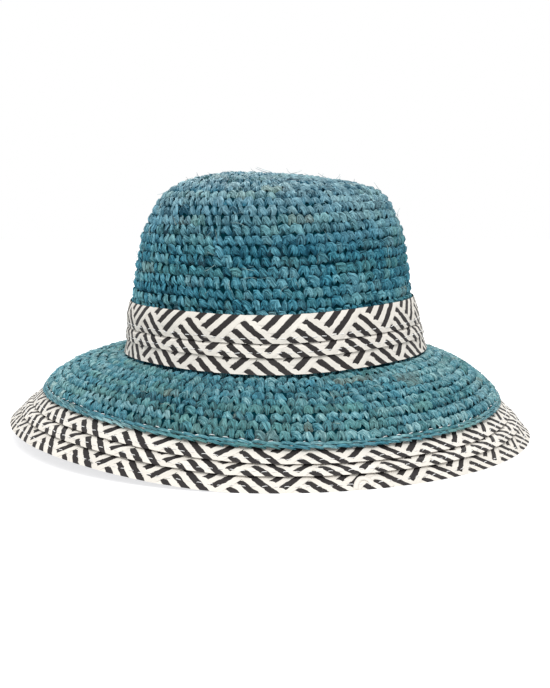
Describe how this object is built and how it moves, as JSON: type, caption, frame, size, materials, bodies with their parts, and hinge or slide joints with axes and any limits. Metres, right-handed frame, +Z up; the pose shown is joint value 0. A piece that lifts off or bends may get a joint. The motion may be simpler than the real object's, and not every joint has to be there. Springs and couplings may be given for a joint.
{
  "type": "crochet raffia sun hat",
  "caption": "Soft crocheted raffia hat with a rounded crown, a bell-shaped brim, and a band and brim edge of lapped two-tone plaited braid.",
  "frame": {"origin": "on the surface that the rim rests on, under the middle of the brim", "axes": "+Z up through the crown, -Y to the hat's front, +X to the side that is on the right in the picture"},
  "size_m": [0.3048, 0.3445, 0.1511],
  "materials": {
    "teal_raffia": "matte crocheted raffia",
    "brim_raffia": "matte crocheted raffia",
    "plaited_straw": "satin plaited straw, cream and black"
  },
  "bodies": {
    "root": {"crown": "teal_raffia", "brim": "brim_raffia", "edging_chain": "brim_raffia", "band_row_upper": "plaited_straw", "band_row_middle": "plaited_straw", "band_row_lower": "plaited_straw", "edge_row_inner": "plaited_straw", "edge_row_middle": "plaited_straw", "edge_row_outer": "plaited_straw"}
  },
  "joints": []
}
